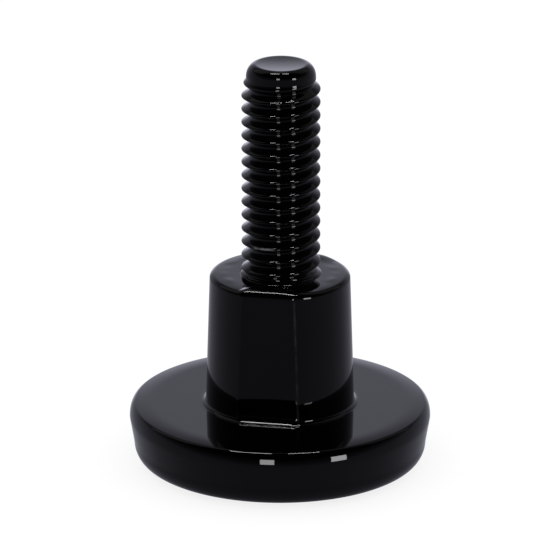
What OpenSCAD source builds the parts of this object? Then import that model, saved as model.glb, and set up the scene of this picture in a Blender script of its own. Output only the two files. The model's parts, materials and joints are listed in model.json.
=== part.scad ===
// Furniture leveling foot. A steel stud with a 5/16-18 thread is cast into a round
// foot, whose boss has two wrench flats, and a nylon pad is pressed into its underside.
// The foot is rigid: the whole of it turns in the furniture's insert to set the height.
// The origin is on the floor at the centre of the pad, and +Z runs up along the stud.

/* [Stud] */
// Diameter over the thread's crests (5/16 inch thread and its coat)
thread_d = 8; // [7.9:0.01:8.1]
// Rise of the thread in one turn (18 turns to the inch)
thread_pitch = 1.4111; // [1.4:0.0001:1.42]
// Depth of the thread from crest to root
thread_depth = 0.8; // [0.6:0.01:0.87]
// Width of the flat land on the thread's crest
crest_w = 0.18; // [0.12:0.01:0.3]
// Height of the stud's tip above the floor
stud_top_z = 42.6; // [34:0.1:60]
// Diameter of the plain neck inside the boss, as wide as the blank the thread is rolled on
neck_d = 7; // [6:0.1:7.2]
// Size across the flats of the hexagonal head inside the foot
head_af = 10; // [9:0.1:10.5]
// Height of the hexagonal head
head_h = 4; // [3:0.1:4.5]

/* [Foot] */
// Diameter of the foot at its widest, on the mould's parting line
foot_d = 30.6; // [28:0.1:36]
// Diameter of the foot at its lower edge, before the edge is rounded
foot_bottom_d = 29.7; // [28.5:0.1:30]
// Thickness of the foot's disc
disc_h = 5.9; // [5.6:0.1:8]
// Diameter of the boss where it meets the disc
boss_base_d = 15.1; // [15:0.05:17]
// Diameter of the boss at its top
boss_top_d = 14.25; // [14:0.05:14.4]
// Height of the boss's top above the foot's underside
boss_top_h = 19.6; // [17:0.1:24]
// Size across the wrench flats at the boss's top
flats_af = 13.2; // [12.6:0.05:13.4]
// Draft of the wrench flats, in degrees
flats_draft = 1; // [0.5:0.1:2]
// Radius of the fillet between the boss and the disc
fillet_r = 0.6; // [0.4:0.1:1]

/* [Pad] */
// Diameter of the pad
pad_d = 24.4; // [21:0.1:25]
// How far the pad stands out of the foot
pad_proud = 0.5; // [0.3:0.1:0.8]
// Depth of the recess that holds the pad
recess_h = 1.5; // [1.2:0.1:1.6]
// Number of pegs that hold the pad
peg_count = 3; // [2:1:6]
// Diameter of each peg
peg_d = 2.8; // [2:0.1:3]

/* [Hidden] */

// Heights above the floor
underside_z = pad_proud;
disc_top_z = underside_z + disc_h;
boss_top_z = underside_z + boss_top_h;
recess_top_z = underside_z + recess_h;

// Rounded edges of the foot, given as [across, up]
lower_edge = [1.3, 1.8];
upper_edge = [0.6, 1.5];
boss_edge_r = 0.4;

// Embedded end of the stud: its head, then two collars on the neck that the casting grips
head_z = recess_top_z + 2;
collar_z = [head_z + head_h + 2.5, head_z + head_h + 6];
collar_d = 8.6;
collar_h = 1.2;

// Mouth of the stud's socket: a shallow counterbore that keeps the boss's top clear of the thread
mouth_d = thread_d + 0.3;
mouth_h = 0.3;

// Tip of the stud: a shallow dish, a broad rounded edge given as [across, up], and a lead-in
// cone that reaches the crests at this distance below the tip
dish_r = 2.1;
dish_rim = 0.6;
dish_depth = 0.15;
tip_flat_r = 2.5;
tip_edge = [1, 1.2];
lead_in_h = 2.6;

// Thread: height of a crest on the +X side, if the helix ran down to the floor
crest_z = 0.32;
flank_angle = 30;
// Groove steps in a turn, and how far it is cut proud of the crests to leave them clean
groove_steps = 32;
groove_overcut = 0.05;
// The groove starts level with the boss, and reaches its full depth in this much of a turn
first_turn = (boss_top_z - crest_z) / thread_pitch;
runout_turns = 0.3;

// Pegs on the pad
peg_ring_r = 8.6;
peg_h = 2.2;
dimple_d = 4;
dimple_h = 0.4;
pad_edge = [0.6, 0.5];

// Points along a quarter of an ellipse with its centre at c, from angle a0 to a1
function arc(c, size, a0, a1, steps = 8) =
    [for (i = [0:steps])
        let (a = a0 + (a1 - a0) * i / steps)
        [c[0] + size[0] * cos(a), c[1] + size[1] * sin(a)]];

// Distance of a wrench flat from the axis at height z
function flat_y(z) = flats_af / 2 + (boss_top_z - z) * tan(flats_draft);

// Radius of the round boss at height z
function boss_r(z) =
    boss_top_d / 2 + (boss_base_d - boss_top_d) / 2 * (boss_top_z - z) / (boss_top_z - disc_top_z);

// One cross-section of the thread's groove, after that many turns from the lowest crest
function groove_ring(turns) =
    let (
        depth = thread_depth * min(1, (turns - first_turn) / runout_turns),
        outer_r = thread_d / 2 + groove_overcut,
        root_r = thread_d / 2 - depth,
        mouth = (thread_pitch - crest_w) / 2 + groove_overcut * tan(flank_angle),
        root = mouth - (thread_depth + groove_overcut) * tan(flank_angle),
        z = crest_z + (turns + 0.5) * thread_pitch,
        a = 360 * turns
    )
    [for (p = [[outer_r, -mouth], [root_r, -root], [root_r, root], [outer_r, mouth]])
        [p[0] * cos(a), p[0] * sin(a), z + p[1]]];

// Helical V-groove from the top of the boss out past the stud's tip
module thread_groove() {
    steps = ceil(((stud_top_z - boss_top_z) / thread_pitch + 0.5) * groove_steps);
    rings = [for (i = [0:steps]) groove_ring(first_turn + i / groove_steps)];
    points = [for (ring = rings) for (p = ring) p];
    walls = [for (i = [0:steps - 1]) for (j = [0:3])
        let (k = (j + 1) % 4)
        [4 * i + j, 4 * (i + 1) + j, 4 * (i + 1) + k, 4 * i + k]];
    last = 4 * steps;
    polyhedron(points, concat([[0, 1, 2, 3]], walls, [[last + 3, last + 2, last + 1, last]]), convexity = 20);
}

// Solid that the foot grips: hexagonal head, neck and collars
module stud_anchor() {
    translate([0, 0, head_z])
        cylinder(h = head_h, d = head_af / cos(30), $fn = 6);
    translate([0, 0, head_z + head_h])
        cylinder(h = boss_top_z - head_z - head_h, d = neck_d, $fn = 64);
    for (z = collar_z)
        translate([0, 0, z])
            cylinder(h = collar_h, d = collar_d, $fn = 64);
}

module threaded_stud() color([0.05, 0.05, 0.06]) {
    r = thread_d / 2;
    difference() {
        union() {
            stud_anchor();
            rotate_extrude($fn = 96)
                polygon(concat(
                    [[0, boss_top_z - mouth_h], [r, boss_top_z - mouth_h], [r, stud_top_z - lead_in_h]],
                    arc([tip_flat_r, stud_top_z - tip_edge[1]], tip_edge, 0, 90),
                    [[dish_r, stud_top_z], [dish_r - dish_rim, stud_top_z - dish_depth], [0, stud_top_z - dish_depth]]));
        }
        thread_groove();
    }
}

// Block outside one wrench flat, with a fillet left standing at its foot
module flat_cutter() {
    far = boss_base_d;
    above = boss_top_z + 1;
    edge_z = boss_top_z - boss_edge_r;
    fillet_c = [flat_y(disc_top_z + fillet_r) + fillet_r, disc_top_z + fillet_r];
    rotate([90, 0, 90])
        linear_extrude(height = 2 * far, center = true)
            polygon(concat(
                arc(fillet_c, [fillet_r, fillet_r], 270, 180),
                [[flat_y(edge_z), edge_z],
                [flat_y(boss_top_z) - boss_edge_r, boss_top_z],
                [flat_y(boss_top_z) - boss_edge_r, above],
                [far, above],
                [far, disc_top_z]]));
}

module foot_body() color([0.05, 0.05, 0.06]) {
    bottom_r = foot_bottom_d / 2;
    widest_r = foot_d / 2;
    difference() {
        rotate_extrude($fn = 128)
            polygon(concat(
                [[0, underside_z]],
                arc([bottom_r - lower_edge[0], underside_z + lower_edge[1]], lower_edge, -90, 0),
                arc([widest_r - upper_edge[0], disc_top_z - upper_edge[1]], upper_edge, 0, 90),
                arc([boss_r(disc_top_z) + fillet_r, disc_top_z + fillet_r], [fillet_r, fillet_r], 270, 180),
                arc([boss_r(boss_top_z) - boss_edge_r, boss_top_z - boss_edge_r], [boss_edge_r, boss_edge_r], 0, 90),
                [[0, boss_top_z]]));
        for (side = [0, 180])
            rotate([0, 0, side])
                flat_cutter();
        stud_anchor();
        translate([0, 0, boss_top_z - mouth_h])
            cylinder(h = mouth_h + 1, d = mouth_d, $fn = 96);
        translate([0, 0, underside_z])
            cylinder(h = recess_h, d = pad_d, $fn = 96);
        pad_pegs();
    }
}

// Ring of round pegs on top of the pad
module pad_pegs() {
    for (i = [0:peg_count - 1])
        rotate([0, 0, 360 * i / peg_count])
            translate([peg_ring_r, 0, recess_top_z])
                cylinder(h = peg_h, d = peg_d, $fn = 32);
}

module floor_pad() color([0.2, 0.2, 0.2]) {
    difference() {
        union() {
            rotate_extrude($fn = 96)
                polygon(concat(
                    [[0, 0]],
                    arc([pad_d / 2 - pad_edge[0], pad_edge[1]], pad_edge, -90, 0),
                    [[pad_d / 2, recess_top_z], [0, recess_top_z]]));
            pad_pegs();
        }
        translate([0, 0, -1])
            cylinder(h = 1 + dimple_h, d = dimple_d, $fn = 32);
    }
}

threaded_stud();
foot_body();
floor_pad();
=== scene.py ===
"""Looks of a rigid furniture leveling foot: a threaded stud cast into a boss on a round disc, all under
one gloss black coat, with a nylon pad underneath. Lengths are metres, and MM is a millimetre.
The wrench flats face -Y and +Y, and the stud runs up along +Z from the pad on the floor."""
import json
import math

import bpy
import numpy as np
from mathutils import Matrix, Vector


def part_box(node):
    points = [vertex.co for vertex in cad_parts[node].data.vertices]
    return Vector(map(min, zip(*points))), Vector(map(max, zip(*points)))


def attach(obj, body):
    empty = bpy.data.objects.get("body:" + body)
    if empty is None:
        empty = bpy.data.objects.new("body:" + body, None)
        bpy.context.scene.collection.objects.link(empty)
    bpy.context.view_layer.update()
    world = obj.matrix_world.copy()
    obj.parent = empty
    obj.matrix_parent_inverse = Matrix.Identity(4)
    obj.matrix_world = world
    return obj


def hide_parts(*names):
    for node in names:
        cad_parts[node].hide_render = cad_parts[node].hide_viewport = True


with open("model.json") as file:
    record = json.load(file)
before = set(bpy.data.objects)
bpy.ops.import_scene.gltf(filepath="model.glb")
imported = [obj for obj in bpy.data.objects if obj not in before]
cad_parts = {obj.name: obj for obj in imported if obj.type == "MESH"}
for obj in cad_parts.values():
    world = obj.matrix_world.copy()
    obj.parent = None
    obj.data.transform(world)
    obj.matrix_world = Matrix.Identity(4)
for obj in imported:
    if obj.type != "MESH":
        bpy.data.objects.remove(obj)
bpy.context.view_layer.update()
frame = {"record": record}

MM = 0.001
MOUNTS = {m["name"]: m for m in frame["record"]["mounts"]}
STUD_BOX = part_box("threaded_stud")
FOOT_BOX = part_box("foot_body")
PAD_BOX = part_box("floor_pad")

# The coat stands this much above the casting's top
COAT_T = 0.13 * MM

# Sizes read from the frame
CREST_R = MOUNTS["stud_thread"]["dims"]["r_mm"] * MM
STUD_TOP = STUD_BOX[1].z
BOSS_TOP = FOOT_BOX[1].z + COAT_T
UNDERSIDE = FOOT_BOX[0].z
FOOT_R = FOOT_BOX[1].x
PAD_R = PAD_BOX[1].x

# Disc: its edges are rounded by these amounts (across, up), and its top falls away near the rim
DISC_TOP = UNDERSIDE + 5.9 * MM
FOOT_BOTTOM_R = 14.85 * MM
LOWER_EDGE = (1.3 * MM, 1.8 * MM)
UPPER_EDGE = (0.6 * MM, 1.5 * MM)
# Degrees at which the upper edge runs into the disc's top
UPPER_EDGE_END = 84
RIM_R = FOOT_R - UPPER_EDGE[0]
RIM_Z = DISC_TOP - UPPER_EDGE[1]
RIM_SAG = 0.09 * MM
RIM_SAG_W = 2.0 * MM
SAG_CURVE = 2.2
RECESS_TOP = UNDERSIDE + 1.5 * MM

# Boss: its top edge is rounded further in on the flats than on the round
BOSS_BASE_R = 7.55 * MM
BOSS_TOP_R = 7.125 * MM
FLAT_TOP = 6.6 * MM
FLAT_DRAFT = math.tan(math.radians(1))
FLAT_FILLET = 0.75 * MM
ROUND_FILLET = 0.42 * MM
CORNER_SOFT = 0.09 * MM
EDGE_H = 0.48 * MM
ROUND_EDGE_W = 0.6 * MM
FLAT_EDGE_W = 0.95 * MM
# Degrees at which the rounded edge runs into the boss's top
BOSS_EDGE_END = 88
BOSS_SAG = 0.04 * MM
BOSS_SAG_W = 1.2 * MM

# The paint stands up in a lip along the top of each flat. The front lip is the higher one: it rises and
# falls between these angles from the middle of the front flat, and thins out slowly to the right.
LIP_FRONT = 0.28 * MM
LIP_RISE = (math.radians(-29), math.radians(-19))
LIP_FALL = (math.radians(10), math.radians(48))
LIP_BACK = 0.1 * MM
LIP_BACK_SPAN = (math.sin(math.radians(40)), math.sin(math.radians(66)))
LIP_W = 1.6 * MM
# Runs in the paint round the boss's top, as (height, waves round the boss, phase)
RUNS = [(0.006 * MM, 5, 0.4), (0.004 * MM, 11, 1.9), (0.003 * MM, 19, 4.0)]
RUN_IN = 0.9 * MM
RUN_W = 0.45 * MM
# Worn paint along the corners of the flats, which is also a painted highlight standing in for a lamp's
# reflection on the rounded corners: strong on two of the four and faint on the others
CORNER_WEAR_AND_HIGHLIGHT = 0.1
CORNER_FAINT = 0.12
CORNER_WEAR_AND_HIGHLIGHT_W = 0.1 * MM
# It sets in between these heights above the disc, and between these depths below the boss's top
WEAR_AND_HIGHLIGHT_FOOT = (0.2 * MM, FLAT_FILLET)
WEAR_AND_HIGHLIGHT_HEAD = (0.5 * MM, 0.9 * MM)

# Thread: it runs out into the plain blank between the heights RUNOUT
PITCH = 1.4111 * MM
CREST_Z = 0.355 * MM
THREAD_DEPTH = 0.8 * MM
CREST_W = 0.18 * MM
FLANK = math.radians(30)
THREAD_SOFT = 0.06 * MM
BLANK_R = 3.54 * MM
RUNOUT = (STUD_TOP - 2.7 * MM, STUD_TOP - 1.3 * MM)
SOCKET_DEPTH = 1.2 * MM
STUD_SHIFT = np.array([0.09, 0.02, 0]) * MM
# The fillet of paint round the foot of the stud, and a nick on one crest, its paint worn bare and lighter
# down to a set depth below the crest, which is also a painted highlight standing in for a glint on the nick
POOL_R = CREST_R - 0.35 * MM
POOL_W = 0.5 * MM
POOL_H = 0.45 * MM
POOL_SOFT = 0.1 * MM
NICK_ANGLE = math.radians(-104.5)
NICK_ARC = math.radians(15)
NICK_Z = 23.95 * MM
NICK_H = 0.3 * MM
NICK_DEPTH = 0.1 * MM
BARE_AND_LIT_DEPTH = 0.18 * MM

# Tip: its end face is dished, a little slanted and off centre, and its edge is tightest at the front
TIP_FRONT = math.radians(-79)
TIP_CENTRE_Z = STUD_TOP - 0.05 * MM
TIP_SLANT = 0.0103
TIP_DISH = 0.0125 / MM
TIP_FLAT_R = 2.52 * MM
TIP_FLAT_SHIFT = 0.28 * MM
TIP_FACE_END = 0.97
TIP_EDGE_H = 1.43 * MM
TIP_EDGE_FRONT = -0.42 * MM
TIP_EDGE_SIDES = -0.26 * MM
SHAFT_TOP = STUD_TOP - 1.8 * MM

# Pad: a dimple in the middle holds the stub of its moulding gate
PAD_GAP = 0.04 * MM
PAD_EDGE = (0.6 * MM, 0.5 * MM)
DIMPLE_R = 2 * MM
DIMPLE_H = 0.4 * MM
GATE_R = 0.7 * MM
GATE_H = 0.2 * MM
GATE_SOFT = (0.08 * MM, 0.08 * MM)

# Columns of points round each mesh. The foot's three counts cover a quarter turn from a flat's middle.
FLAT_COLUMNS = 20
CORNER_COLUMNS = 14
ROUND_COLUMNS = 44
CORNER_ARC = math.radians(4.5)
STUD_COLUMNS = 160
PAD_COLUMNS = 160
# Rows of points along each stretch of the foot, from the recess round to the socket
UNDER_ROWS = 4
LOWER_EDGE_ROWS = 14
SIDE_ROWS = 6
UPPER_EDGE_ROWS = 16
DISC_ROWS = 24
RIM_CROWDING = 1.5
FILLET_ROWS = 18
WALL_ROWS = 40
BOSS_EDGE_ROWS = 16
BOSS_TOP_ROWS = 24
# Rows along the stud, and samples of the thread's profile over one pitch
ROWS_PER_PITCH = 32
PLAIN_END_ROWS = 16
TIP_EDGE_ROWS = 30
TIP_FACE_ROWS = 16
THREAD_SAMPLES = 1440
# Rows along the pad
GATE_ROWS = 6
DIMPLE_ROWS = 4
PAD_FACE_ROWS = 10
PAD_EDGE_ROWS = 8
PAD_SIDE_ROWS = 3


# ---------------------------------------------------------------- curves and meshes

def smooth_min(a, b, soft):
    """The smaller of a and b, blended over a band of that width where they meet."""
    h = np.clip(0.5 + 0.5 * (b - a) / soft, 0, 1)
    return b * (1 - h) + a * h - soft * h * (1 - h)


def smooth_step(x, low, high):
    """0 below low and 1 above high, with a smooth rise between them."""
    t = np.clip((x - low) / (high - low), 0, 1)
    return t * t * (3 - 2 * t)


def turn_from(angle, centre):
    """How far angle is from centre, in radians between -pi and pi."""
    return (angle - centre + math.pi) % (2 * math.pi) - math.pi


def ripple(angle, terms):
    """Slow unevenness round the axis: terms are (height, waves in a turn, phase)."""
    return sum(height * np.cos(waves * angle + phase) for height, waves, phase in terms)


def steps(start, stop, count):
    """Evenly spaced values from start to stop, without start itself."""
    return np.linspace(start, stop, count + 1)[1:]


def arc(centre, size, start, stop, count):
    """Points (r, z) along part of an ellipse, angles in degrees."""
    a = np.radians(np.linspace(start, stop, count + 1))
    return [(centre[0] + size[0] * math.cos(t), centre[1] + size[1] * math.sin(t)) for t in a]


def straight(a, b, count):
    """Points from a to b, without a itself."""
    return [tuple(np.array(a) + (np.array(b) - np.array(a)) * i / count) for i in range(1, count + 1)]


def polar(angle, radius, z):
    """A ring of points at those angles, with one radius and height or one for each angle."""
    z = np.broadcast_to(z, angle.shape)
    return np.stack([radius * np.cos(angle), radius * np.sin(angle), z], 1)


def sag(inset, width, drop):
    """How far a flat top has fallen at that distance in from its edge, where it falls by drop."""
    return drop * np.clip(1 - inset / width, 0, 1) ** SAG_CURVE


def band_faces(bands, columns):
    """Four-sided faces between rings of points that are numbered ring by ring."""
    faces = []
    for i in range(bands):
        for j in range(columns):
            k = (j + 1) % columns
            faces.append((i * columns + j, i * columns + k, (i + 1) * columns + k, (i + 1) * columns + j))
    return faces


def ring_mesh(name, rows, worn_and_lit=None):
    """A closed mesh from rings of points, each of shape (columns, 3), with both ends capped by a fan.
    The last argument gives how worn the coat is at each point, with the painted highlight that goes with
    it, from 0 to 1."""
    columns = len(rows[0])
    co = np.concatenate(rows)
    faces = band_faces(len(rows) - 1, columns)
    bottom, top = len(co), len(co) + 1
    last = (len(rows) - 1) * columns
    for j in range(columns):
        k = (j + 1) % columns
        faces.append((bottom, k, j))
        faces.append((top, last + j, last + k))
    co = np.vstack([co, rows[0].mean(0), rows[-1].mean(0)])
    mesh = bpy.data.meshes.new(name)
    mesh.from_pydata(co.tolist(), [], faces)
    mesh.validate()
    mesh.shade_smooth()
    if worn_and_lit is not None:
        wear_and_highlight = mesh.attributes.new("wear_and_highlight", "FLOAT", "POINT")
        wear_and_highlight.data.foreach_set("value", worn_and_lit(co))
    piece = bpy.data.objects.new(name, mesh)
    bpy.context.scene.collection.objects.link(piece)
    return piece


# ---------------------------------------------------------------- foot

def flat_distance(z):
    """Distance of a wrench flat from the axis at height z."""
    return FLAT_TOP + (BOSS_TOP - z) * FLAT_DRAFT


def boss_radius(z):
    """Radius of the round of the boss at height z."""
    return BOSS_TOP_R + (BOSS_BASE_R - BOSS_TOP_R) * (BOSS_TOP - z) / (BOSS_TOP - DISC_TOP)


def column_angles(z, grow=(0.0, 0.0)):
    """Angles of the mesh's columns at height z, packed close where the flats meet the round of the boss."""
    corner = math.acos(min(1, (flat_distance(z) + grow[1]) / (boss_radius(z) + grow[0])))
    inner, outer = corner - CORNER_ARC, corner + CORNER_ARC
    quarter = np.concatenate([
        np.linspace(0, inner, FLAT_COLUMNS, endpoint=False),
        np.linspace(inner, outer, CORNER_COLUMNS, endpoint=False),
        np.linspace(outer, math.pi / 2, ROUND_COLUMNS, endpoint=False)])
    next_quarter = math.pi - np.concatenate([[math.pi / 2], quarter[:0:-1]])
    side = np.concatenate([quarter, next_quarter])
    return np.concatenate([side, side + math.pi]) - math.pi / 2


def boss_outline(z, grow=(0.0, 0.0)):
    """Angles and radii of the boss's outline at height z, its round and flats moved outwards by grow."""
    angle = column_angles(z, grow)
    # Towards +X and -X a flat is never met, and this least value avoids dividing by zero
    across = np.maximum(np.abs(np.sin(angle)), 1e-3)
    flat = (flat_distance(z) + grow[1]) / across
    return angle, smooth_min(boss_radius(z) + grow[0], flat, CORNER_SOFT)


def lip_height(angle):
    """How far the paint's lip stands above the boss's round edge."""
    from_front = turn_from(angle, -math.pi / 2)
    front = smooth_step(from_front, *LIP_RISE) * (1 - smooth_step(from_front, *LIP_FALL))
    return LIP_FRONT * front + LIP_BACK * smooth_step(np.sin(angle), *LIP_BACK_SPAN)


def fillet(height, size):
    """How far a fillet stands out from the wall at that height above the disc."""
    return size - math.sqrt(size ** 2 - max(0, size - height) ** 2)


def foot_profile():
    """Points (r, z) from the recess out under the foot and up its side, over the rim's rounded edge."""
    bottom_r = FOOT_BOTTOM_R - LOWER_EDGE[0]
    points = [(PAD_R, RECESS_TOP)]
    points += straight(points[-1], (PAD_R, UNDERSIDE), UNDER_ROWS)
    points += straight(points[-1], (bottom_r, UNDERSIDE), UNDER_ROWS)
    points += arc((bottom_r, UNDERSIDE + LOWER_EDGE[1]), LOWER_EDGE, -90, 0, LOWER_EDGE_ROWS)[1:]
    points += straight(points[-1], (FOOT_R, RIM_Z), SIDE_ROWS)
    size = (UPPER_EDGE[0], UPPER_EDGE[1] - RIM_SAG)
    points += arc((RIM_R, RIM_Z), size, 0, UPPER_EDGE_END, UPPER_EDGE_ROWS)[1:]
    return points


def disc_rows(rim):
    """Rows over the disc's top from the rim in to the foot of the fillet, crowded towards the rim."""
    inner = polar(*boss_outline(DISC_TOP, (ROUND_FILLET, FLAT_FILLET)), DISC_TOP)
    rows = []
    for t in steps(0, 1, DISC_ROWS) ** RIM_CROWDING:
        row = rim + (inner - rim) * t
        row[:, 2] = DISC_TOP - sag(RIM_R - np.hypot(row[:, 0], row[:, 1]), RIM_SAG_W, RIM_SAG)
        rows.append(row)
    return rows


def boss_rows():
    """Rows up the fillet, then the wall of the boss, then its rounded top edge."""
    rows = []
    for a in np.radians(steps(90, 0, FILLET_ROWS)):
        height = FLAT_FILLET * (1 - math.sin(a))
        grow = (fillet(height, ROUND_FILLET), fillet(height, FLAT_FILLET))
        rows.append(polar(*boss_outline(DISC_TOP + height, grow), DISC_TOP + height))
    edge_z = BOSS_TOP - BOSS_SAG - EDGE_H
    rows += [polar(*boss_outline(z), z) for z in steps(DISC_TOP + FLAT_FILLET, edge_z, WALL_ROWS)]
    for a in np.radians(steps(0, BOSS_EDGE_END, BOSS_EDGE_ROWS)):
        outwards = math.cos(a) - 1
        angle, radius = boss_outline(edge_z, (ROUND_EDGE_W * outwards, FLAT_EDGE_W * outwards))
        rows.append(polar(angle, radius, edge_z + (EDGE_H + lip_height(angle)) * math.sin(a)))
    return rows


def boss_top_rows(edge):
    """Rows over the boss's top from its edge in to the socket that the stud stands in."""
    angle = np.arctan2(edge[:, 1], edge[:, 0])
    mouth = polar(angle, CREST_R, BOSS_TOP)
    rows = []
    for t in steps(0, 1, BOSS_TOP_ROWS):
        row = edge + (mouth - edge) * t
        inset = np.hypot(*(row - edge)[:, :2].T)
        raised = (edge[:, 2] - BOSS_TOP + BOSS_SAG) * (1 - smooth_step(inset, 0, LIP_W))
        runs = ripple(angle, RUNS) * np.exp(-((inset - RUN_IN) / RUN_W) ** 2)
        row[:, 2] = BOSS_TOP - sag(inset, BOSS_SAG_W, BOSS_SAG) + raised + runs
        rows.append(row)
    rows.append(mouth - np.array([0, 0, SOCKET_DEPTH]))
    return rows


def corner_wear_and_highlight(co):
    """How thin the paint is along the sharp corners between the flats and the round of the boss, where it
    is lighter as a painted highlight standing in for a lamp's reflection on the corners.
    """
    on_wall = smooth_step(co[:, 2] - DISC_TOP, *WEAR_AND_HIGHLIGHT_FOOT) * smooth_step(BOSS_TOP - co[:, 2], *WEAR_AND_HIGHLIGHT_HEAD)
    corner_y = flat_distance(co[:, 2])
    corner_x = np.sqrt(boss_radius(co[:, 2]) ** 2 - corner_y ** 2)
    away = np.hypot(np.abs(co[:, 0]) - corner_x, np.abs(co[:, 1]) - corner_y)
    side = np.where(co[:, 0] * co[:, 1] < 0, 1.0, CORNER_FAINT)
    return CORNER_WEAR_AND_HIGHLIGHT * on_wall * side * np.exp(-(away / CORNER_WEAR_AND_HIGHLIGHT_W) ** 2)


def make_foot(coat):
    angle = column_angles(DISC_TOP)
    rows = [polar(angle, r, z) for r, z in foot_profile()]
    rows += disc_rows(rows[-1])
    rows += boss_rows()
    rows += boss_top_rows(rows[-1])
    foot = ring_mesh("foot_casting", rows, corner_wear_and_highlight)
    foot.data.materials.append(coat)
    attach(foot, "root")
    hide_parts("foot_body")


# ---------------------------------------------------------------- stud

def thread_profile():
    """Radius over one pitch of the thread, starting from the middle of a crest, softened by the coat."""
    s = np.arange(THREAD_SAMPLES) / THREAD_SAMPLES * PITCH
    from_crest = np.minimum(s, PITCH - s)
    sharp = CREST_R - np.clip((from_crest - CREST_W / 2) / math.tan(FLANK), 0, THREAD_DEPTH)
    rate = np.fft.rfftfreq(THREAD_SAMPLES, PITCH / THREAD_SAMPLES)
    blur = np.exp(-2 * (math.pi * rate * THREAD_SOFT) ** 2)
    soft = np.fft.irfft(np.fft.rfft(sharp) * blur, THREAD_SAMPLES)
    return soft + (CREST_R - soft.max())


PROFILE = thread_profile()


def thread_radius(angle, z):
    """Radius of the thread at that angle and height, read from its profile along the helix."""
    turn = ((z - CREST_Z) / PITCH - angle / (2 * math.pi)) % 1.0
    closed = np.append(PROFILE, PROFILE[0])
    return np.interp(turn * THREAD_SAMPLES, np.arange(THREAD_SAMPLES + 1), closed)


def nick(angle, z):
    """How deep the nick is at that angle and height, from 0 to 1."""
    along = np.exp(-(turn_from(angle, NICK_ANGLE) / NICK_ARC) ** 4)
    return along * np.exp(-((z - NICK_Z) / NICK_H) ** 2)


def nick_wear_and_highlight(co):
    """How bare and light the nick's paint is, worn paint that is also a painted highlight standing in for a
    glint on the nick: only the crest is marked.
    """
    on_crest = np.hypot(co[:, 0], co[:, 1]) > CREST_R - BARE_AND_LIT_DEPTH
    return nick(np.arctan2(co[:, 1], co[:, 0]), co[:, 2]) * on_crest


def shaft_radius(angle, z):
    """Radius of the threaded shaft, which runs out into the plain blank at the tip, paint at the boss."""
    fade = 1 - smooth_step(z, *RUNOUT)
    radius = BLANK_R + fade * (thread_radius(angle, z) - BLANK_R)
    radius -= NICK_DEPTH * nick(angle, z)
    depth = 1 - np.clip((z - BOSS_TOP) / POOL_H, 0, 1)
    pool = np.where(depth > 0, POOL_R + POOL_W * (1 - np.sqrt(1 - depth ** 2)), 0)
    return -smooth_min(-radius, -pool, POOL_SOFT)


def tip_face_z(radius, toward):
    """Height of the end face at that radius, where toward is the cosine of the turn from its front."""
    return TIP_CENTRE_Z + TIP_SLANT * radius * toward + TIP_DISH * radius ** 2


def stud_rows():
    """Rows up the threaded shaft, then its plain end, its rounded edge, and in over the end face."""
    angle = np.linspace(0, 2 * math.pi, STUD_COLUMNS, endpoint=False)
    low = BOSS_TOP - SOCKET_DEPTH
    count = round((SHAFT_TOP - low) / PITCH * ROWS_PER_PITCH)
    rows = [polar(angle, shaft_radius(angle, z), z) for z in np.linspace(low, SHAFT_TOP, count + 1)]
    toward = np.cos(turn_from(angle, TIP_FRONT))
    flat_r = TIP_FLAT_R + TIP_FLAT_SHIFT * toward
    face_z = tip_face_z(flat_r, toward)
    edge_h = TIP_EDGE_H + TIP_EDGE_FRONT * toward + TIP_EDGE_SIDES * toward ** 2
    for t in steps(0, 1, PLAIN_END_ROWS):
        z = SHAFT_TOP + (face_z - edge_h - SHAFT_TOP) * t
        rows.append(polar(angle, shaft_radius(angle, z), z))
    shaft_r = np.hypot(rows[-1][:, 0], rows[-1][:, 1])
    for a in np.radians(steps(0, 90, TIP_EDGE_ROWS)):
        radius = flat_r + (shaft_r - flat_r) * math.cos(a)
        rows.append(polar(angle, radius, face_z - edge_h * (1 - math.sin(a))))
    for t in steps(0, TIP_FACE_END, TIP_FACE_ROWS):
        radius = flat_r * (1 - t)
        rows.append(polar(angle, radius, tip_face_z(radius, toward)))
    return [row + STUD_SHIFT for row in rows]


def make_stud(coat):
    stud = ring_mesh("rolled_stud", stud_rows(), nick_wear_and_highlight)
    stud.data.materials.append(coat)
    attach(stud, "root")
    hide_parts("threaded_stud")


# ---------------------------------------------------------------- pad

def pad_profile():
    """Points (r, z) from the gate's stub out over the dimple and the pad's face, and up its side."""
    outer_r = PAD_R - PAD_GAP
    soft = GATE_SOFT[0]
    points = arc((GATE_R - soft, DIMPLE_H - GATE_H + soft), GATE_SOFT, -90, 0, GATE_ROWS)
    points += [(GATE_R, DIMPLE_H)]
    points += straight(points[-1], (DIMPLE_R, DIMPLE_H), DIMPLE_ROWS)
    points += arc((DIMPLE_R + soft, soft), GATE_SOFT, 180, 270, GATE_ROWS)
    points += straight(points[-1], (outer_r - PAD_EDGE[0], 0.0), PAD_FACE_ROWS)
    points += arc((outer_r - PAD_EDGE[0], PAD_EDGE[1]), PAD_EDGE, -90, 0, PAD_EDGE_ROWS)[1:]
    points += straight(points[-1], (outer_r, RECESS_TOP), PAD_SIDE_ROWS)
    return points


def make_pad(material):
    angle = np.linspace(0, 2 * math.pi, PAD_COLUMNS, endpoint=False)
    pad = ring_mesh("nylon_pad", [polar(angle, r, z) for r, z in pad_profile()])
    pad.data.materials.append(material)
    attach(pad, "root")
    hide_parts("floor_pad")


# ---------------------------------------------------------------- materials

# Spread of the noise texture's value that is used, which leaves out its rare extremes
NOISE_LOW = 0.3
NOISE_HIGH = 0.7

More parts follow.
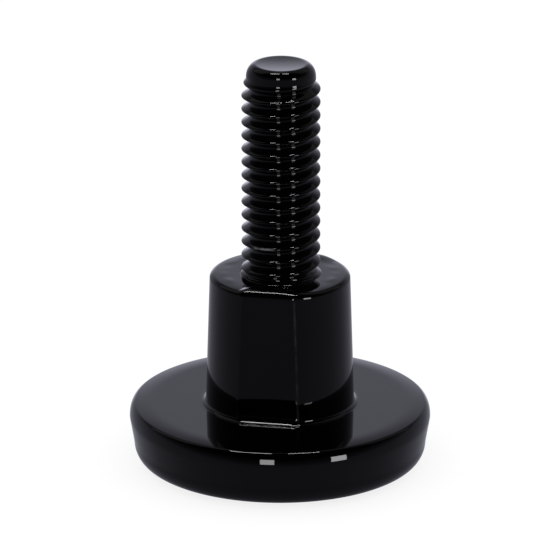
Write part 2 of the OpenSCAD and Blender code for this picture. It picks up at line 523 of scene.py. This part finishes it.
# Gloss coat: colours of its darkest and lightest paint, of worn paint that is also a painted highlight on
# the flats' corners and the nick, and of dust
COAT_DARK = (0.0001, 0.0001, 0.0002, 1)
COAT_LIGHT = (0.0004, 0.0004, 0.0005, 1)
RUBBED_AND_HIGHLIGHT_COLOUR = (0.15, 0.15, 0.165, 1)
DUST_COLOUR = (0.16, 0.16, 0.15, 1)
COAT_IOR = 1.5
COAT_ROUGH = (0.022, 0.042)
RUBBED_AND_HIGHLIGHT_ROUGH = 1.6
DUST_ROUGH = 0.5
PEEL_DEPTH = 0.0006 * MM
# Specks of dust: cells to the metre, a speck's radius, and how rare the cells with a speck are
DUST_CELLS = 280
DUST_SIZE = 0.05 * MM
DUST_RARITY = 0.6

NYLON_DARK = (0.016, 0.016, 0.017, 1)
NYLON_LIGHT = (0.03, 0.03, 0.031, 1)
NYLON_IOR = 1.53
NYLON_ROUGH = (0.42, 0.6)
SPARK_DEPTH = 0.02 * MM
SPARK_STRENGTH = 0.6


def new_material(name):
    material = bpy.data.materials.new(name)
    material.use_nodes = True
    return material, material.node_tree.nodes, material.node_tree.links


def noise(nodes, links, coords, scale, detail, low, high):
    """A noise texture over the object, its waves about 1 / scale metres long, mapped to low and high."""
    texture = nodes.new("ShaderNodeTexNoise")
    texture.inputs["Scale"].default_value = scale
    texture.inputs["Detail"].default_value = detail
    spread = nodes.new("ShaderNodeMapRange")
    spread.inputs["From Min"].default_value = NOISE_LOW
    spread.inputs["From Max"].default_value = NOISE_HIGH
    spread.inputs["To Min"].default_value = low
    spread.inputs["To Max"].default_value = high
    links.new(coords.outputs["Object"], texture.inputs["Vector"])
    links.new(texture.outputs["Fac"], spread.inputs["Value"])
    return spread.outputs["Result"]


def combine(nodes, links, operation, a, b):
    """A Math node on a and b, each a number or another node's output."""
    node = nodes.new("ShaderNodeMath")
    node.operation = operation
    for socket, value in zip(node.inputs, (a, b)):
        if isinstance(value, float):
            socket.default_value = value
        else:
            links.new(value, socket)
    return node.outputs["Value"]


def colour_mix(nodes):
    """A Mix node for colours, its two colour inputs, and its colour output."""
    node = nodes.new("ShaderNodeMix")
    node.data_type = "RGBA"
    colours = [i for i in node.inputs if i.type == "RGBA"]
    result = [o for o in node.outputs if o.type == "RGBA"][0]
    return node, colours, result


def blend_colour(nodes, links, factor, a, b):
    """Colour a where factor is 0 and b where it is 1, each a colour or another node's output."""
    node, colours, result = colour_mix(nodes)
    for socket, value in zip(colours, (a, b)):
        if isinstance(value, tuple):
            socket.default_value = value
        else:
            links.new(value, socket)
    links.new(factor, node.inputs["Factor"])
    return result


def add_bump(nodes, links, shader, height, distance, strength):
    bump = nodes.new("ShaderNodeBump")
    bump.inputs["Strength"].default_value = strength
    bump.inputs["Distance"].default_value = distance
    links.new(height, bump.inputs["Height"])
    links.new(bump.outputs["Normal"], shader.inputs["Normal"])


def dust(nodes, links, coords):
    """Mask of a few specks of dust, a tenth of a millimetre across."""
    cells = nodes.new("ShaderNodeTexVoronoi")
    cells.inputs["Scale"].default_value = DUST_CELLS
    links.new(coords.outputs["Object"], cells.inputs["Vector"])
    near = combine(nodes, links, "LESS_THAN", cells.outputs["Distance"], DUST_SIZE * DUST_CELLS)
    chosen = nodes.new("ShaderNodeSeparateColor")
    links.new(cells.outputs["Color"], chosen.inputs["Color"])
    few = combine(nodes, links, "GREATER_THAN", chosen.outputs["Red"], DUST_RARITY)
    return combine(nodes, links, "MULTIPLY", near, few)


def gloss_black():
    """Deep black gloss coat with a trace of orange peel, specks of dust, and paint worn thin and lighter in
    places, which is also a painted highlight.
    """
    material, nodes, links = new_material("gloss_black_coat")
    shader = nodes["Principled BSDF"]
    shader.inputs["IOR"].default_value = COAT_IOR
    coords = nodes.new("ShaderNodeTexCoord")
    wear_and_highlight = nodes.new("ShaderNodeAttribute")
    wear_and_highlight.attribute_name = "wear_and_highlight"
    patchy = noise(nodes, links, coords, 900, 3, 0.25, 1.0)
    rubbed_and_highlight = combine(nodes, links, "MULTIPLY", wear_and_highlight.outputs["Fac"], patchy)
    dusty = dust(nodes, links, coords)
    tone = noise(nodes, links, coords, 260, 3, 0.0, 1.0)
    colour = blend_colour(nodes, links, tone, COAT_DARK, COAT_LIGHT)
    # Worn paint, lightened as a painted highlight on the flats' corners and the nick
    colour = blend_colour(nodes, links, rubbed_and_highlight, colour, RUBBED_AND_HIGHLIGHT_COLOUR)
    colour = blend_colour(nodes, links, dusty, colour, DUST_COLOUR)
    links.new(colour, shader.inputs["Base Color"])
    rough = noise(nodes, links, coords, 420, 4, *COAT_ROUGH)
    for mask, more in ((rubbed_and_highlight, RUBBED_AND_HIGHLIGHT_ROUGH), (dusty, DUST_ROUGH)):
        rough = combine(nodes, links, "ADD", rough, combine(nodes, links, "MULTIPLY", mask, more))
    links.new(rough, shader.inputs["Roughness"])
    peel = combine(nodes, links, "ADD", noise(nodes, links, coords, 550, 2, 0.0, 1.0), dusty)
    add_bump(nodes, links, shader, peel, PEEL_DEPTH, 1.0)
    return material


def nylon():
    """Moulded black nylon: slightly mottled and matt, with a fine spark-eroded texture."""
    material, nodes, links = new_material("pad_nylon")
    shader = nodes["Principled BSDF"]
    shader.inputs["IOR"].default_value = NYLON_IOR
    coords = nodes.new("ShaderNodeTexCoord")
    tone = noise(nodes, links, coords, 300, 4, 0.0, 1.0)
    links.new(blend_colour(nodes, links, tone, NYLON_DARK, NYLON_LIGHT), shader.inputs["Base Color"])
    links.new(noise(nodes, links, coords, 500, 3, *NYLON_ROUGH), shader.inputs["Roughness"])
    spark = noise(nodes, links, coords, 4000, 2, 0.0, 1.0)
    add_bump(nodes, links, shader, spark, SPARK_DEPTH, SPARK_STRENGTH)
    return material


# ---------------------------------------------------------------- studio

VIEW_AZIMUTH = math.radians(10.9)
VIEW_ELEVATION = math.radians(21)
CAMERA_DISTANCE = 0.969
FRAME_WIDTH = 57.14 * MM
AIM_HEIGHT = 19.4 * MM
SENSOR = 36.0

# Set: a floor and a cyclorama that the gloss coat doesn't mirror
SET_RADIUS = 3.0
DOME_COLUMNS = 48
DOME_BANDS = 24
DOME_GLOW = 1.03
FLOOR_GAP = 0.01 * MM
FLOOR_COLOUR = 0.2
FLOOR_GLOW = 0.83
SET_ROUGH = 0.9

# Room: what the coat mirrors is the product of two ramps, each a list of (cosine, level): one by how near
# a direction is to level and straight behind the object, and one by how near it is to a point overhead
ROOM_BLUE = 1.2
OVERHEAD = math.radians(70)
ROOM_ROUND = [
    (-1.0, 0.1), (-0.5, 0.125), (0.0, 0.145), (0.42, 0.19), (0.755, 0.265),
    (0.9, 0.35), (0.9356, 0.44), (0.959, 0.75), (0.978, 1.0), (1.0, 1.15)]
ROOM_UP = [
    (-1.0, 1.0), (0.02, 1.0), (0.1, 0.75), (0.2, 0.5), (0.34, 0.28),
    (0.5, 0.06), (0.62, 0.02), (1.0, 0.02)]

# Lamps: name, azimuth round from the view and elevation, width and height, all in degrees, and glow
LAMP_DISTANCE = 1.5
LAMPS = [
    ("softbox_left", -9.5, 0.5, 10.5, 21, 6),
    ("softbox_right", 44.4, -1, 12, 20, 7),
    ("strip_left", -81.8, 77.9, 17.8, 2, 45),
    ("strip_right", 79.4, 80.6, 12.6, 2, 45),
    ("card_left", -135, 57, 60, 38, 0.18),
    ("card_right", 135, 57, 60, 38, 0.12)]


def direction(azimuth, elevation):
    """Unit vector from the object at that azimuth round from -Y and that elevation, in radians."""
    flat = math.cos(elevation)
    return Vector((math.sin(azimuth) * flat, -math.cos(azimuth) * flat, math.sin(elevation)))


def add_camera():
    data = bpy.data.cameras.new("camera")
    data.sensor_width = SENSOR
    data.lens = SENSOR * CAMERA_DISTANCE / FRAME_WIDTH
    camera = bpy.data.objects.new("camera", data)
    bpy.context.scene.collection.objects.link(camera)
    camera.location = Vector((0, 0, UNDERSIDE)) + direction(VIEW_AZIMUTH, VIEW_ELEVATION) * CAMERA_DISTANCE
    back = camera.location - Vector((0, 0, AIM_HEIGHT))
    camera.rotation_euler = back.to_track_quat("Z", "Y").to_euler()
    bpy.context.scene.camera = camera


def stage_material(name, colour, glow):
    material, nodes, _ = new_material(name)
    shader = nodes["Principled BSDF"]
    shader.inputs["Base Color"].default_value = (colour, colour, colour, 1)
    shader.inputs["Roughness"].default_value = SET_ROUGH
    shader.inputs["Specular IOR Level"].default_value = 0.0
    shader.inputs["Emission Color"].default_value = (1, 1, 1, 1)
    shader.inputs["Emission Strength"].default_value = glow
    return material


def add_stage(name, co, faces, material):
    """Part of the set. It lights the floor, but the gloss coat doesn't mirror it."""
    mesh = bpy.data.meshes.new(name)
    mesh.from_pydata(co, [], faces)
    mesh.shade_smooth()
    mesh.materials.append(material)
    stage = bpy.data.objects.new(name, mesh)
    bpy.context.scene.collection.objects.link(stage)
    stage.visible_glossy = False


def add_floor():
    """A pale floor, just far enough below the pad not to share its plane."""
    signs = [(-1, -1), (1, -1), (1, 1), (-1, 1)]
    corners = [(x * SET_RADIUS, y * SET_RADIUS, -FLOOR_GAP) for x, y in signs]
    add_stage("floor", corners, [(0, 1, 2, 3)], stage_material("pale_floor", FLOOR_COLOUR, FLOOR_GLOW))


def add_dome():
    """A white cyclorama all round and overhead, bright enough to read as a plain white background."""
    co = []
    for i in range(DOME_BANDS + 1):
        up = math.radians(-90 + 180 * i / DOME_BANDS)
        for j in range(DOME_COLUMNS):
            co.append(direction(math.radians(360 * j / DOME_COLUMNS), up) * SET_RADIUS)
    faces = band_faces(DOME_BANDS, DOME_COLUMNS)
    add_stage("cyclorama", co, faces, stage_material("white_cyclorama", 0.0, DOME_GLOW))


def ramp_on(nodes, links, coords, axis, stops, blue=1.0):
    """A grey level that depends on how near a direction is to axis: stops are pairs of cosine and level."""
    towards = nodes.new("ShaderNodeVectorMath")
    towards.operation = "DOT_PRODUCT"
    towards.inputs[1].default_value = axis
    level = nodes.new("ShaderNodeMapRange")
    level.inputs["From Min"].default_value = -1
    ramp = nodes.new("ShaderNodeValToRGB")
    while len(ramp.color_ramp.elements) < len(stops):
        ramp.color_ramp.elements.new(0.5)
    for element, (cosine, value) in zip(ramp.color_ramp.elements, stops):
        element.position = (cosine + 1) / 2
        element.color = (value, value, value * blue, 1)
    links.new(coords.outputs["Generated"], towards.inputs[0])
    links.new(towards.outputs["Value"], level.inputs["Value"])
    links.new(level.outputs["Result"], ramp.inputs["Fac"])
    return ramp.outputs["Color"]


def add_world():
    """What the gloss coat mirrors: a dim studio, brightest low down behind the object and dark overhead."""
    world = bpy.data.worlds.new("studio")
    bpy.context.scene.world = world
    world.use_nodes = True
    nodes, links = world.node_tree.nodes, world.node_tree.links
    coords = nodes.new("ShaderNodeTexCoord")
    behind = direction(VIEW_AZIMUTH + math.pi, 0)
    overhead = direction(VIEW_AZIMUTH, OVERHEAD)
    product, colours, result = colour_mix(nodes)
    product.blend_type = "MULTIPLY"
    product.inputs["Factor"].default_value = 1.0
    links.new(ramp_on(nodes, links, coords, behind, ROOM_ROUND, ROOM_BLUE), colours[0])
    links.new(ramp_on(nodes, links, coords, overhead, ROOM_UP), colours[1])
    links.new(result, nodes["Background"].inputs["Color"])


def add_lamp(name, azimuth, elevation, width, height, glow):
    """A rectangular lamp at that place round the object, its size given as angles in degrees."""
    data = bpy.data.lights.new(name, "AREA")
    data.shape = "RECTANGLE"
    data.size = 2 * LAMP_DISTANCE * math.tan(math.radians(width / 2))
    data.size_y = 2 * LAMP_DISTANCE * math.tan(math.radians(height / 2))
    # An area lamp's radiance is its power over pi times its area, in one direction only
    data.energy = glow * data.size * data.size_y * math.pi
    data.normalize = True
    lamp = bpy.data.objects.new(name, data)
    bpy.context.scene.collection.objects.link(lamp)
    out = direction(VIEW_AZIMUTH + math.radians(azimuth), math.radians(elevation))
    right = direction(VIEW_AZIMUTH + math.pi / 2, 0)
    right = (right - out * right.dot(out)).normalized()
    turn = Matrix((right, out.cross(right), out)).transposed()
    lamp.matrix_world = Matrix.Translation(out * LAMP_DISTANCE) @ turn.to_4x4()
    lamp.visible_diffuse = False
    lamp.visible_camera = False


coat = gloss_black()
make_foot(coat)
make_stud(coat)
make_pad(nylon())

add_camera()
add_world()
add_floor()
add_dome()
for lamp in LAMPS:
    add_lamp(*lamp)

bpy.context.scene.view_settings.view_transform = "Standard"
